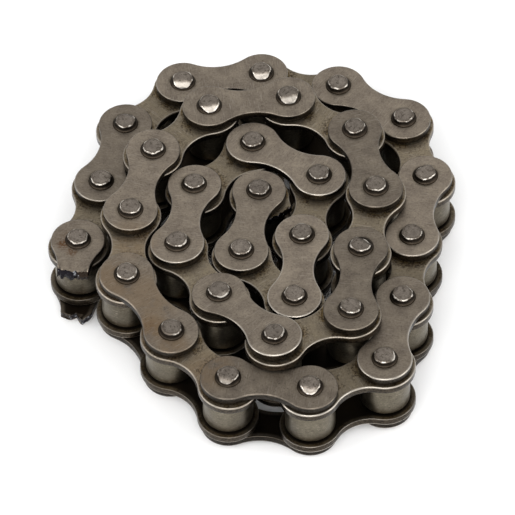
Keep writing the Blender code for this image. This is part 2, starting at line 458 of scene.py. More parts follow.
def film(tree, where, spots):
    """How strong a film of spots is at a point."""
    covered = None
    for pin, across, along, reach, strength in spots:
        centre = pins[pin] + Vector((across, along, FILM_HEIGHT)) * MM
        away = add(tree, "ShaderNodeVectorMath", {0: where, 1: tuple(centre)}, operation="DISTANCE")
        near = add(tree, "ShaderNodeMapRange", {
            0: away.outputs["Value"], 1: reach * MM, 2: FILM_CORE * reach * MM, 4: strength},
            interpolation_type="SMOOTHSTEP")
        if covered:
            near = add(tree, "ShaderNodeMath", {
                0: covered, 1: near.outputs[0]}, operation="MAXIMUM")
        covered = near.outputs[0]
    return covered


# Sizes in the tumbled steel: soft patches, specks, pits, torn grain, the width of a scratch and of
# a ring worn round a pin, and how far the scratches of one plate are from those of another. Real
# scratches and rings are finer, and these are as coarse as they need to be to show.
PATCH = 2.6 * MM
SPECK = 0.3 * MM
PIT = 0.33 * MM
TORN_GRAIN = 0.6 * MM
SCRATCH = 0.16 * MM
WORN_RING = 0.11 * MM
SHIFT = 100 * MM

# Where the mottled darkening beside an outer plate ends and where it is full, as distances from a
# pin, how far in a rubbed edge is bright and how much it adds to the roughness, and the depth at
# which the cut side has its own colour
MOTTLED_BESIDE_END = 6.4 * MM
MOTTLED_BESIDE_FULL = 5.0 * MM
RUB_REACH = 0.34 * MM
RUB_ROUGHNESS = -0.14
SIDE_DEPTH = -0.06 * MM


def tumbled_steel(name, tones, oil, oil_from, oil_to, swing, mottled_beside, sides):
    """Hardened carbon steel, tumbled in grit and oiled. It shows as an even grey-brown satin with
    soft dark patches, black pits and short scratches. Oil stains it round the pins from one
    distance to another, and on an outer plate that dark ring round the pin's head is also painted
    shade. An inner plate also has rings worn there, and mottled darkening beside them. The cut side
    is dark with oil and painted shade, in two tones, and the inner face is darkened with oil and
    painted shade away from its edge."""
    material, shader, where, patches, specks, colour, rough = bare_steel(
        name, tones, PATCH, SPECK, (0.36, 0.5))
    tree = material.node_tree
    rim, tone, torn, place, look = [
        add(tree, "ShaderNodeAttribute", attribute_name=label).outputs[output]
        for label, output in (("rim", "Fac"), ("tone", "Fac"), ("torn", "Fac"),
                              ("place", "Vector"), ("look", "Vector"))]
    parts = add(tree, "ShaderNodeSeparateXYZ", {0: place}).outputs
    looks = add(tree, "ShaderNodeSeparateXYZ", {0: look}).outputs

    # How far the nearest pin is
    flat = add(tree, "ShaderNodeVectorMath", {0: place, 1: (1, 1, 0)}, operation="MULTIPLY")
    near, far = [
        add(tree, "ShaderNodeVectorMath", {0: flat.outputs[0], 1: pin}, operation="DISTANCE")
        for pin in ((0, 0, 0), (PITCH, 0, 0))]
    from_pin = add(tree, "ShaderNodeMath", {
        0: near.outputs["Value"], 1: far.outputs["Value"]}, operation="MINIMUM").outputs[0]

    # Patterns: pits and torn grain, rings worn round the pin, and scratches that differ by plate
    pits, broken = [
        add(tree, "ShaderNodeTexNoise", {
            "Vector": where, "Scale": 1 / size, "Detail": 2.0, "Roughness": rugged}).outputs["Fac"]
        for size, rugged in ((PIT, 0.7), (TORN_GRAIN, 0.5))]
    worn = add(tree, "ShaderNodeTexNoise", {"W": from_pin, "Scale": 1 / WORN_RING, "Detail": 1.0},
               noise_dimensions="1D").outputs["Fac"]
    shift = add(tree, "ShaderNodeMath", {0: tone, 1: SHIFT}, operation="MULTIPLY").outputs[0]
    scratches = []
    for turn in (0.5, 1.9):
        drawn = add(tree, "ShaderNodeMapping", {
            "Vector": place, "Location": shift, "Rotation": (0, 0, turn), "Scale": (1, 0.07, 1)})
        scratches.append(add(tree, "ShaderNodeTexNoise", {
            "Vector": drawn.outputs[0], "Scale": 1 / SCRATCH, "Detail": 1.0}).outputs["Fac"])

    # Where each stain is strong
    beside_outer = add(tree, "ShaderNodeMapRange", {
        0: from_pin, 1: MOTTLED_BESIDE_END, 2: MOTTLED_BESIDE_FULL, 4: mottled_beside}).outputs[0]
    oiled, swung, mottled_dark, dull_edge, side, inner_face_shade = [
        add(tree, "ShaderNodeMapRange", {0: follows, 1: start, 2: full, 3: low, 4: high},
            interpolation_type="SMOOTHSTEP").outputs[0]
        for follows, start, full, low, high in (
            (from_pin, oil_from, oil_to, 0.9, 0.0),
            (from_pin, oil_to + 0.9 * MM, oil_from, 0.0, swing),
            (patches, 0.42, 0.58, 0.0, beside_outer), (patches, 0.4, 0.6, 0.6, 0.2),
            (rim, 0.0, SIDE_DEPTH, 0.0, 1.0), (rim, 0.3 * MM, INNER_SHADE_FULL, 0.4, 1.0))]
    rubbed = add(tree, "ShaderNodeMapRange", {
        0: parts["X"], 1: 0.3 * PITCH, 2: 0.7 * PITCH, 3: looks["Y"], 4: looks["Z"]},
        interpolation_type="SMOOTHSTEP").outputs[0]
    inner_face = -PLATE_THICKNESS / 2
    colour = stain(tree, colour, (
        # Oil round the pins; on an outer plate this dark ring round the pin's head is also painted
        # shade
        (patches, 0.42, 0.62, oiled, oil),
        (patches, 0.3, 0.5, film(tree, where, DRIED_OIL), "7F6C56"),
        (pits, 0.34, 0.58, film(tree, where, RUST), "5E4128"),
        (pits, 0.61, 0.7, 0.5, "3B332A"),
        (scratches[0], 0.63, 0.75, 0.45, "A2998D"),
        (scratches[1], 0.64, 0.76, 0.4, "A2998D"),
        (scratches[1], 0.36, 0.26, 0.4, "4B433A"),
        (worn, 0.52, 0.7, swung, "A09383"),
        # Mottled darkening on an inner plate just outside an outer plate's lobe
        (pits, 0.44, 0.58, mottled_dark, "352C25"),
        (rim, 0.3 * MM, 0.08 * MM, dull_edge, "4A433B"),
        (rim, RUB_REACH, 0.0, rubbed, "BCB4A9"),
        # The cut side: dark with oil and with painted shade, in two tones
        (rim, 0.0, SIDE_DEPTH, 1.0, sides[0]),
        (pits, 0.4, 0.62, side, sides[1]),
        # The inner face, that looks at the other plate: oil and painted shade away from its edge
        (parts["Z"], inner_face + 0.06 * MM, inner_face + 0.02 * MM, inner_face_shade, "2A241D")))
    shade = add(tree, "ShaderNodeMapRange", {0: tone, 3: 0.95, 4: 1.05}).outputs[0]
    shade = add(tree, "ShaderNodeMath", {0: shade, 1: looks["X"]}, operation="MULTIPLY").outputs[0]
    shaded = add(tree, "ShaderNodeVectorMath", {0: colour, "Scale": shade}, operation="SCALE")

    # The torn face at a cut: blue-black, brown on one side, with bright broken grain
    colour = stain(tree, shaded.outputs[0], (
        (torn, 0.0, 1.0, 1.0, "201E22"),
        (parts["Y"], 0.3 * MM, 1.1 * MM, torn, "2E2620"),
        (broken, 0.58, 0.7, torn, "8D8F93")))
    tree.links.new(colour, shader.inputs["Base Color"])
    bright = add(tree, "ShaderNodeMapRange", {0: rim, 1: RUB_REACH, 2: 0.0, 4: rubbed}).outputs[0]
    bright = add(tree, "ShaderNodeMath", {0: bright, 1: torn}, operation="ADD").outputs[0]
    smooth = add(tree, "ShaderNodeMath", {
        0: bright, 1: RUB_ROUGHNESS, 2: rough}, operation="MULTIPLY_ADD")
    tree.links.new(smooth.outputs[0], shader.inputs["Roughness"])

    # Shallow dents, grit marks and the torn grain
    normal = None
    for height, strength, depth in (
            (patches, 0.35, 0.02), (specks, 0.4, 0.012), (broken, torn, 0.12)):
        bump = {"Height": height, "Strength": strength, "Distance": depth * MM}
        if normal:
            bump["Normal"] = normal
        normal = add(tree, "ShaderNodeBump", bump).outputs[0]
    tree.links.new(normal, shader.inputs["Normal"])
    return material


def first_end(link):
    """The pin that a link's plates are placed by."""
    return (link,)


def lay_plates(kind, links, plate, height, seed, steel, looks, usual):
    """Plates on each link of a kind, one piece for each body. Looks are how light the plates are,
    and how bright the rolled edge is rubbed at the first pin and at the second."""
    for body, joints in by_body(links, first_end).items():
        piece = lay(f"{kind}_plates_{body}", plate_rows, joints, body, {
            "Piece": plate, "Height": height, "Seed": seed, "Steel": steel},
            {"look": [looks.get(link, usual) for pin, link in joints]})
        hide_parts(*[link_node(link).name for pin, link in joints])
    take_out(plate)


INNER_LOOK = (1.0, 0.45, 0.45)
INNER_LOOKS = {
    1: (0.88, 0.4, 0.4), 5: (0.9, 0.5, 0.4), 7: (1.18, 0.3, 0.3), 9: (0.86, 0.3, 0.6),
    11: (0.88, 0.8, 1.0), 13: (1.0, 0.5, 0.3), 15: (1.12, 0.4, 0.4), 21: (1.12, 0.5, 0.5),
    25: (1.1, 0.4, 0.4), 31: (1.08, 0.5, 0.8)}

# Old oil leaves a yellow stain just outside the outer plates
inner_steel = tumbled_steel("tumbled inner plate steel", ("6A6154", "90846F"), "5F4D2B",
                            4.4 * MM, 5.6 * MM, 0.5, 0.8, ("4A4238", "2C2721"))
lay_plates("inner", INNER_LINKS, template("inner plate", whole_plate(
    "inner plate", INNER_LOBE, INNER_WAIST, BUSHING_RADIUS)),
    INNER_MIDDLE, 11, inner_steel, INNER_LOOKS, INNER_LOOK)


# The outer plates
# Two on each outer link, of the same strip and a little smaller, pressed on the ends of two pins.
# They are the plates that show most. Some are darker, and some edges are rubbed bright.
OUTER_LOBE = 4.27 * MM
OUTER_WAIST = 2.48 * MM
PIN_RADIUS = 1.79 * MM
SIDE_GAP = 0.25 * MM
OUTER_MIDDLE = INNER_MIDDLE + PLATE_THICKNESS + SIDE_GAP
OUTER_LOOK = (1.0, 0.15, 0.15)
OUTER_LOOKS = {
    2: (0.81, 0.5, 0.1), 4: (0.97, 0.2, 0.1), 6: (1.02, 0.1, 0.1), 8: (1.14, 0.2, 0.4),
    10: (0.88, 0.5, 0.9), 12: (0.83, 0.05, 0.1), 14: (0.97, 0.1, 0.25), 16: (1.06, 0.2, 0.1),
    18: (1.03, 0.1, 0.1), 20: (0.86, 0.15, 0.1), 22: (0.8, 0.1, 0.1), 24: (1.03, 0.9, 0.1),
    26: (1.1, 0.5, 0.25), 28: (1.07, 0.5, 0.75), 30: (1.17, 0.5, 1.0), 32: (1.03, 0.3, 0.15)}

# Round the pins' heads the plate is dark with oil and painted shade, and its cut sides are darker
# still with oil and painted shade
outer_steel = tumbled_steel("tumbled outer plate steel", ("6D6359", "938879"), "3F382C",
                            1.9 * MM, 2.6 * MM, 0.0, 0.0, ("37312A", "1D1A16"))
lay_plates("outer", OUTER_LINKS, template("outer plate", whole_plate(
    "outer plate", OUTER_LOBE, OUTER_WAIST, PIN_RADIUS)),
    OUTER_MIDDLE, 23, outer_steel, OUTER_LOOKS, OUTER_LOOK)


# The bushings
# One on each pin inside its roller: a thin steel tube, curled from strip and pressed into both
# inner plates, flush outside them. Its end shows as a ring in the slit under an outer plate.
BUSHING_BORE = 2.1 * MM
INNER_BACK = INNER_WIDTH / 2 + PLATE_THICKNESS
BUSHING_BREAK = 0.08 * MM
TURNED_SIDES = 56

bushing_section = [
    (BUSHING_RADIUS - BUSHING_BREAK, INNER_BACK), (BUSHING_RADIUS, INNER_BACK - BUSHING_BREAK),
    (BUSHING_RADIUS, BUSHING_BREAK - INNER_BACK), (BUSHING_RADIUS - BUSHING_BREAK, -INNER_BACK),
    (BUSHING_BORE + BUSHING_BREAK, -INNER_BACK), (BUSHING_BORE, BUSHING_BREAK - INNER_BACK),
    (BUSHING_BORE, INNER_BACK - BUSHING_BREAK), (BUSHING_BORE + BUSHING_BREAK, INNER_BACK)]


def turned_mesh(name, section):
    """A turned ring from the points of its section, each a radius and a height. It keeps the place
    of each point in the part."""
    bm = bmesh.new()
    rings = []
    for radius, height in section:
        circle = arc((0, 0), radius, 0, 2 * math.pi, TURNED_SIDES)[:-1]
        rings.append([bm.verts.new((x, y, height)) for x, y in circle])
    for low, high in zip(rings, rings[1:] + rings[:1]):
        join_rings(bm, low, high)
    bmesh.ops.recalc_face_normals(bm, faces=bm.faces[:])
    mesh = bpy.data.meshes.new(name)
    bm.to_mesh(mesh)
    bm.free()
    mesh.shade_smooth()
    keep_places(mesh)
    return mesh


def turned_row_tree():
    """A turned part on each pin."""
    tree, given, copies, _ = start_rows("turned parts along a chain", {})
    finish_rows(tree, given, make_real(tree, given, copies))
    return tree


turned_rows = turned_row_tree()


# Sizes in the turned steel: soft patches, specks, scuffs, and the rings that the tool left
TURNED_PATCH = 3.0 * MM
TURNED_SPECK = 0.25 * MM
SCUFF = 0.6 * MM
TOOL_RING = 0.12 * MM


def turned_steel(name, tones, roughness, oil_from, oil_to):
    """Smooth turned steel. It shows as a soft gleam with faint rings from the tool, scuffs and
    small dark marks. It is darker at its ends with oil and painted shade, and a little darker with
    painted shade where it faces the next part."""
    material, shader, _, _, specks, colour, rough = bare_steel(
        name, tones, TURNED_PATCH, TURNED_SPECK, roughness)
    tree = material.node_tree
    place = add(tree, "ShaderNodeAttribute", attribute_name="place").outputs["Vector"]
    tone = add(tree, "ShaderNodeAttribute", attribute_name="tone").outputs["Fac"]
    parts = add(tree, "ShaderNodeSeparateXYZ", {0: place}).outputs
    across, tall = [
        add(tree, "ShaderNodeMath", {0: parts[axis]}, operation="ABSOLUTE").outputs[0]
        for axis in "XZ"]
    shift = add(tree, "ShaderNodeMath", {0: tone, 1: SHIFT}, operation="MULTIPLY").outputs[0]
    drawn = add(tree, "ShaderNodeMapping", {
        "Vector": place, "Location": shift, "Scale": (1.0, 1.0, 2.2)}).outputs[0]
    scuffs = add(tree, "ShaderNodeTexNoise", {
        "Vector": drawn, "Scale": 1 / SCUFF, "Detail": 4.0, "Roughness": 0.7}).outputs["Fac"]
    colour = stain(tree, colour, (
        # Painted shade where the part faces the next one
        (across, 2.4 * MM, 3.8 * MM, 0.3, "2C241C"),
        (scuffs, 0.54, 0.68, 0.55, "3A332A"),
        (scuffs, 0.44, 0.32, 0.5, "968E80"),
        # Dark ends where the part meets the plates: oil and painted shade
        (tall, oil_from, oil_to, 0.85, "3A3128")))
    tree.links.new(colour, shader.inputs["Base Color"])
    tree.links.new(rough, shader.inputs["Roughness"])
    rings = add(tree, "ShaderNodeTexNoise", {
        "W": parts["Z"], "Scale": 1 / TOOL_RING, "Detail": 1.0},
        noise_dimensions="1D").outputs["Fac"]
    grooves = add(tree, "ShaderNodeBump", {
        "Height": rings, "Strength": 0.15, "Distance": 0.004 * MM})
    grain = add(tree, "ShaderNodeBump", {
        "Height": specks, "Strength": 0.3, "Distance": 0.008 * MM, "Normal": grooves.outputs[0]})
    tree.links.new(grain.outputs[0], shader.inputs["Normal"])
    return material


def inner_ends(link):
    """The pins that turn in an inner link's bushings."""
    return (link,) if link == PIN_COUNT else (link, link + 1)


sleeved_joints = by_body([*INNER_LINKS, PIN_COUNT], inner_ends)
bushing_steel = turned_steel(
    "curled bushing steel", ("6A6254", "837A6B"), (0.35, 0.5), 4.0 * MM, 4.6 * MM)
bushing = template("bushing", turned_mesh("bushing", bushing_section))
for body, joints in sleeved_joints.items():
    piece = lay(f"bushings_{body}", turned_rows, joints, body, {
        "Piece": bushing, "Seed": 5, "Steel": bushing_steel})
    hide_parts(*[link_node(link).name for pin, link in joints])
take_out(bushing)


# The rollers
# One on each bushing, of hardened steel, turned smooth and left to spin. It shows in the gaps
# between the plates, with a soft gleam down its side, and dark with oil and painted shade where
# it meets the plates.
ROLLER_RADIUS = 3.885 * MM
ROLLER_BORE = 2.95 * MM
ROLLER_END = INNER_WIDTH / 2 - SIDE_GAP
ROLLER_CORNER = 0.3 * MM
ROLLER_STEPS = 4
BORE_CORNER = 0.12 * MM
BORE_STEPS = 2


def round_corner(radius, height, turn_radius, turn_height, size, steps):
    """Points of a rounded corner, from beside it on one face to beside it on the other."""
    points = []
    for i in range(steps + 1):
        angle = math.pi / 2 * i / steps
        points.append((radius + turn_radius * size * (1 - math.sin(angle)),
                       height + turn_height * size * (1 - math.cos(angle))))
    return points


roller_section = (
    round_corner(ROLLER_RADIUS, ROLLER_END, -1, -1, ROLLER_CORNER, ROLLER_STEPS)
    + round_corner(ROLLER_RADIUS, -ROLLER_END, -1, 1, ROLLER_CORNER, ROLLER_STEPS)[::-1]
    + round_corner(ROLLER_BORE, -ROLLER_END, 1, 1, BORE_CORNER, BORE_STEPS)
    + round_corner(ROLLER_BORE, ROLLER_END, 1, -1, BORE_CORNER, BORE_STEPS)[::-1])

roller_steel = turned_steel(
    "turned roller steel", ("5B5549", "766F61"), (0.32, 0.45), 2.7 * MM, 3.0 * MM)
roller = template("roller", turned_mesh("roller", roller_section))
for body, joints in sleeved_joints.items():
    piece = lay(f"rollers_{body}", turned_rows, joints, body, {
        "Piece": roller, "Seed": 7, "Steel": roller_steel})
    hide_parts(*sorted({roller_node(pin).name for pin, link in joints}))
take_out(roller)


# The pins
# One through each joint, pressed into the outer plates and then upset with a hard tool at both
# ends. That leaves a flat bruised face with a narrow uneven bevel, and the head spreads below it.
PIN_END = 6.85 * MM
PIN_FACE = 1.46 * MM
BEVEL_SIDES = 7
UNEVEN = 0.06
BRUISE_DEPTH = 0.5 * MM
BRUISE_SIZE = 1.1 * MM
DEEPEST_CUT = 0.85 * MM

# The head's section from its middle out: the radius and the depth below its end, in millimetres,
# and how much the tool reached it. A blow leaves what it hardly reached as it is.
HARDLY_REACHED = 0.05
HEAD = ((0.0, 0.0, 1.0), (0.45, 0.0, 1.0), (0.9, 0.0, 1.0), (1.2, 0.0, 1.0), (1.41, 0.0, 1.0),
        (1.46, 0.015, 1.0), (1.52, 0.07, 1.0), (1.59, 0.13, 1.0), (1.62, 0.21, 1.0),
        (1.65, 0.4, 0.7), (1.72, 0.62, 0.4), (1.86, 0.78, 0.15), (2.05, 0.9, 0.04),
        (1.79, 0.94, 0.0), (1.79, 1.1, 0.0))

# How the tool fell on the ends that show: the side that it struck in degrees, how many millimetres
# from the pin's middle the struck face starts, how steep it is and how bright. The other ends were
# struck straight.
STRAIGHT = (0, 0.0, 0.0, 0.0)
BLOWS = {4: (-95, 0.5, 0.95, 0.45), 12: (-95, 0.7, 0.95, 0.2), 13: (-110, 0.95, 1.0, 0.2),
         18: (-80, 0.65, 0.95, 0.5), 5: (-90, 0.6, 1.0, 0.5), 19: (-80, 0.5, 0.95, 0.42),
         11: (-20, 0.9, 0.6, 0.4), 25: (-60, 0.9, 0.7, 0.2), 22: (50, 0.5, 0.9, 0.0),
         8: (140, 0.9, 0.8, 0.0), 3: (60, 0.8, 0.5, 0.0)}


def bevelled(radius, angle):
    """The radius of a face that the tool left slightly many-sided."""
    half = math.pi / BEVEL_SIDES
    side = math.cos(half) / math.cos(angle % (2 * half) - half)
    return radius * (1 - UNEVEN + UNEVEN * side)


def pin_mesh():
    """A pin with two heads. It keeps at each point how much the tool reached it, and its place."""
    upper = [(radius * MM, PIN_END - depth * MM, share) for radius, depth, share in HEAD]
    lower = [(radius, -height, share) for radius, height, share in reversed(upper)]
    bm = bmesh.new()
    rings, marks = [], []
    for radius, height, share in upper + lower:
        ring = []
        for i in range(TURNED_SIDES if radius else 1):
            angle = 2 * math.pi * i / TURNED_SIDES
            size = bevelled(radius, angle) if share == 1.0 else radius
            ring.append(bm.verts.new((size * math.cos(angle), size * math.sin(angle), height)))
            marks.append(share)
        rings.append(ring)
    for low, high in zip(rings, rings[1:]):
        if len(low) == len(high):
            join_rings(bm, low, high)
            continue
        pole, ring = (low[0], high) if len(low) == 1 else (high[0], low)
        for i in range(TURNED_SIDES):
            bm.faces.new((pole, ring[i], ring[(i + 1) % TURNED_SIDES]))
    bmesh.ops.recalc_face_normals(bm, faces=bm.faces[:])
    mesh = bpy.data.meshes.new("pin")
    bm.to_mesh(mesh)
    bm.free()
    mesh.shade_smooth()
    keep(mesh, "upset", marks)
    keep_places(mesh)
    return mesh


def struck_depth(tree, flat, blow, deepest):
    """How far a blow cuts the head down at a point."""
    start = add(tree, "ShaderNodeSeparateXYZ", {0: blow}).outputs["Z"]
    reach = add(tree, "ShaderNodeVectorMath", {0: blow, 1: flat}, operation="DOT_PRODUCT")
    depth = reach.outputs["Value"]
    for operation, value in (("SUBTRACT", start), ("MAXIMUM", 0.0), ("MINIMUM", deepest)):
        depth = add(tree, "ShaderNodeMath", {0: depth, 1: value}, operation=operation).outputs[0]
    return depth


def pin_row_tree():
    """A pin at each joint, its ends bruised by a pattern in space and cut by the tool's slant."""
    tree, given, copies, turn = start_rows("pins along a chain", {
        label: "Float" for label in ("Bruise Depth", "Bruise Size", "Head Height", "Deepest Cut")})
    real = make_real(tree, given, copies)
    place, upset, blow = [
        add(tree, "GeometryNodeInputNamedAttribute", {"Name": label}, data_type=kind).outputs[0]
        for label, kind in (
            ("place", "FLOAT_VECTOR"), ("upset", "FLOAT"), ("blow", "FLOAT_VECTOR"))]
    height = add(tree, "ShaderNodeSeparateXYZ", {0: place}).outputs["Z"]
    flat = add(tree, "ShaderNodeVectorMath", {0: place, 1: (1, 1, 0)}, operation="MULTIPLY")
    out = add(tree, "ShaderNodeVectorMath", {0: flat.outputs[0]}, operation="NORMALIZE").outputs[0]

    # Bruises move the bevel in and out
    size = add(tree, "ShaderNodeMath", {0: 1.0, 1: given["Bruise Size"]}, operation="DIVIDE")
    bruises = add(tree, "ShaderNodeTexNoise", {"Detail": 1.0, "Scale": size.outputs[0]})
    depth = bruises.outputs["Fac"]
    for operation, value in (
            ("SUBTRACT", 0.5), ("MULTIPLY", given["Bruise Depth"]), ("MULTIPLY", upset)):
        depth = add(tree, "ShaderNodeMath", {0: depth, 1: value}, operation=operation).outputs[0]
    spread = add(tree, "ShaderNodeVectorMath", {0: out, "Scale": depth}, operation="SCALE")

    # The slant face that a blow leaves: the head is cut down beyond it, towards the plate
    drop = struck_depth(tree, flat.outputs[0], blow, given["Deepest Cut"])
    tall = add(tree, "ShaderNodeMath", {0: height}, operation="ABSOLUTE").outputs[0]
    side = add(tree, "ShaderNodeMath", {0: height}, operation="SIGN").outputs[0]
    reached = add(tree, "ShaderNodeMath", {
        0: upset, 1: HARDLY_REACHED}, operation="GREATER_THAN")
    sink = given["Head Height"]
    for operation, value in (
            ("SUBTRACT", drop), ("SUBTRACT", tall), ("MINIMUM", 0.0), ("MULTIPLY", side),
            ("MULTIPLY", reached.outputs[0])):
        sink = add(tree, "ShaderNodeMath", {0: sink, 1: value}, operation=operation).outputs[0]
    lower = add(tree, "ShaderNodeCombineXYZ", {"Z": sink}).outputs[0]
    moved = add(tree, "ShaderNodeVectorMath", {0: spread.outputs[0], 1: lower}).outputs[0]
    turned = add(tree, "FunctionNodeRotateVector", {"Vector": moved, "Rotation": turn}).outputs[0]
    beaten = add(tree, "GeometryNodeSetPosition", {"Geometry": real, "Offset": turned})
    finish_rows(tree, given, beaten.outputs[0])
    return tree


# Sizes in the upset steel: soft patches, specks and dents
UPSET_PATCH = 0.9 * MM
UPSET_SPECK = 0.2 * MM
DENT = 0.45 * MM


def upset_steel():
    """Carbon steel upset cold. Its face is bruised and as light as the plates. Its bevel gleams in
    places, and so does the face that a slanting blow left. Under the bevel the head is dark with
    oil and painted shade, and it gets lighter again where it spreads."""
    material, shader, where, patches, specks, colour, rough = bare_steel(
        "upset pin steel", ("5F5750", "8C8379"), UPSET_PATCH, UPSET_SPECK, (0.5, 0.5))
    tree = material.node_tree
    place, blow, shine, tone = [
        add(tree, "ShaderNodeAttribute", attribute_name=label).outputs[output]
        for label, output in (
            ("place", "Vector"), ("blow", "Vector"), ("shine", "Fac"), ("tone", "Fac"))]
    height = add(tree, "ShaderNodeSeparateXYZ", {0: place}).outputs["Z"]
    tall = add(tree, "ShaderNodeMath", {0: height}, operation="ABSOLUTE").outputs[0]
    flat = add(tree, "ShaderNodeVectorMath", {
        0: place, 1: (1, 1, 0)}, operation="MULTIPLY").outputs[0]
    from_middle = add(tree, "ShaderNodeVectorMath", {0: flat}, operation="LENGTH").outputs["Value"]
    dents = add(tree, "ShaderNodeTexNoise", {
        "Vector": where, "Scale": 1 / DENT, "Detail": 2.0, "Roughness": 0.6}).outputs["Fac"]
    glint = add(tree, "ShaderNodeMapRange", {0: patches, 1: 0.48, 2: 0.56, 4: 0.8}).outputs[0]

    # The height of a point and how far a blow cut it down: past the pin's end, it was struck
    drop = struck_depth(tree, flat, blow, DEEPEST_CUT)
    struck = add(tree, "ShaderNodeMath", {0: tall, 1: drop}, operation="ADD").outputs[0]
    colour = stain(tree, colour, (
        (dents, 0.53, 0.66, 0.65, "3B342C"),
        (dents, 0.42, 0.3, 0.4, "9E9589"),
        (from_middle, PIN_FACE - 0.4 * MM, PIN_FACE, 0.5, "4A4239"),
        (from_middle, PIN_FACE - 0.05 * MM, PIN_FACE, glint, "CFC8BE"),
        (struck, PIN_END + 0.1 * MM, PIN_END + 0.4 * MM, shine, "D3CCC2"),
        # Oil and painted shade under the bevel, and less of it where the head spreads
        (tall, PIN_END - 0.12 * MM, PIN_END - 0.22 * MM, 1.0, "27221D"),
        (tall, PIN_END - 0.6 * MM, PIN_END - 0.9 * MM, 1.0, "3F372E")))
    shade = add(tree, "ShaderNodeMapRange", {0: tone, 3: 0.88, 4: 1.12}).outputs[0]
    shaded = add(tree, "ShaderNodeVectorMath", {0: colour, "Scale": shade}, operation="SCALE")
    tree.links.new(shaded.outputs[0], shader.inputs["Base Color"])
    tree.links.new(rough, shader.inputs["Roughness"])
    bruises = add(tree, "ShaderNodeBump", {"Height": dents, "Strength": 0.6, "Distance": 0.05 * MM})
    grain = add(tree, "ShaderNodeBump", {
        "Height": specks, "Strength": 0.35, "Distance": 0.01 * MM, "Normal": bruises.outputs[0]})
    tree.links.new(grain.outputs[0], shader.inputs["Normal"])
    return material


def outer_ends(link):
    """The pins that an outer link holds."""
    return (1,) if link == 0 else (link, link + 1)


def blow_on(pin, link):
    """A blow in the pin's own axes: its direction and its start, each times its slope."""
    heading, start, slope, _ = BLOWS.get(pin, STRAIGHT)
    angle = math.radians(heading)
    along = turns[link].transposed() @ Vector((math.cos(angle), math.sin(angle), 0.0))
    return (along.x * slope, along.y * slope, start * MM * slope)


def shine_on(pin):
    """How bright the struck face is, three times over, because a mark is a vector."""
    return (BLOWS.get(pin, STRAIGHT)[3],) * 3


pin_steel = upset_steel()
pin_rows = pin_row_tree()
pin_part = template("pin", pin_mesh())
for body, joints in by_body([0, *OUTER_LINKS], outer_ends).items():
    piece = lay(f"pins_{body}", pin_rows, joints, body, {
        "Piece": pin_part, "Seed": 3, "Bruise Depth": BRUISE_DEPTH, "Bruise Size": BRUISE_SIZE,
        "Head Height": PIN_END, "Deepest Cut": DEEPEST_CUT, "Steel": pin_steel}, {
        "blow": [blow_on(pin, link) for pin, link in joints],
        "shine": [shine_on(pin) for pin, link in joints]})
    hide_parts(*[link_node(link).name for pin, link in joints])
take_out(pin_part)


# The cut links
# The chain was broken through the waist of its first and last link. Each half plate ends in a
# torn edge with dark, crumbled steel on it, and the lowest outer one has a bent point of burr.

# Points along a cut side and across the tear, how far the flat faces end before the tear, how far
# past the lobe the bend starts in millimetres, and the tone of the cut plates
CUT_STEPS = 6
TORN_STEPS = 16
TORN_MARGIN = 0.05 * MM
BEND_FROM = 0.6
CUT_TONE = 0.4

# How rough a tear is along its edge, and how far its face is pulled back or pushed out, in mm
RAGGED = 0.16
CRUMBLED = (-0.2, 0.06)


def torn_plate(name, lobe, waist, hole, cut, slant, bend, seed):
    """Half a plate, its torn edge given by distances from the pin in millimetres and roughened at
    random. The tear slants outwards below, and the end is bent inwards, or outwards if negative. It
    marks the points of the tear."""
    dice = random.Random(seed)
    jags = []
    for i in range(TORN_STEPS + 1):
        spot = i / TORN_STEPS * (len(cut) - 1)
        first = min(int(spot), len(cut) - 2)
        plain = cut[first] + (cut[first + 1] - cut[first]) * (spot - first)
        rough = 0 if i in (0, TORN_STEPS) else dice.uniform(-RAGGED, RAGGED)
        jags.append((plain + rough) * MM)
    torn_part = min(jags) - TORN_MARGIN - 0.01 * MM

    def outline(lobe, waist, inset):
        height, radius, tangent = hollow_of(lobe - inset, waist - inset)
        back = min(inset, TORN_MARGIN)
        near = arc((0, 0), lobe - inset, tangent, 2 * math.pi - tangent, LOBE_STEPS)
        sides = []
        for end in (jags[0], jags[-1]):
            reach = math.acos((end - back - PITCH / 2) / radius)
            sides.append(arc((PITCH / 2, -height), radius, math.pi - tangent, reach, CUT_STEPS))
        low, high = sides[0][-1][1], -sides[1][-1][1]
        torn = []
        for i in range(1, TORN_STEPS):
            torn.append((jags[i] - back, low + (high - low) * i / TORN_STEPS))
        upper = [(x, -y) for x, y in reversed(sides[1])]
        return near + sides[0][1:] + torn + upper[:-1]

    mesh = plate_mesh(name, lobe, waist, hole, (0,), outline)
    half = PLATE_THICKNESS / 2
    marks = []
    rims = mesh.attributes["rim"].data
    for vert in mesh.vertices:
        tail = vert.co.x > torn_part
        torn = tail and abs(vert.co.z) < half - SHARP_EDGE / 2
        marks.append(1.0 if torn else 0.0)
        if tail and vert.co.z > 0:
            rims[vert.index].value = CLEAN
        if torn:
            vert.co.x += dice.uniform(*CRUMBLED) * MM + slant * (half - vert.co.z)
        vert.co.z -= bend * max(0.0, (vert.co.x - lobe) / MM - BEND_FROM) ** 2 * MM
    keep(mesh, "torn", marks)
    return mesh


def put_plates(name, link, pin, parts, steel, look):
    """The two half plates of a cut link, as one piece: the lower one is turned over."""
    bm = bmesh.new()
    on_pin = Matrix.Translation(pins[pin]) @ turns[link].to_4x4()
    for mesh, height, flip in parts:
        place = on_pin @ Matrix.Translation((0, 0, height))
        mesh.transform(place @ Euler((flip, 0, 0)).to_matrix().to_4x4())
        bm.from_mesh(mesh)
    mesh = bpy.data.meshes.new(name)
    bm.to_mesh(mesh)
    bm.free()
    mesh.materials.append(steel)
    keep(mesh, "tone", [CUT_TONE] * len(mesh.vertices))
    keep(mesh, "look", [*look] * len(mesh.vertices))
    thing = bpy.data.objects.new(name, mesh)
    bpy.context.collection.objects.link(thing)
    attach(thing, link_node(link)["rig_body"])
    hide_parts(link_node(link).name)


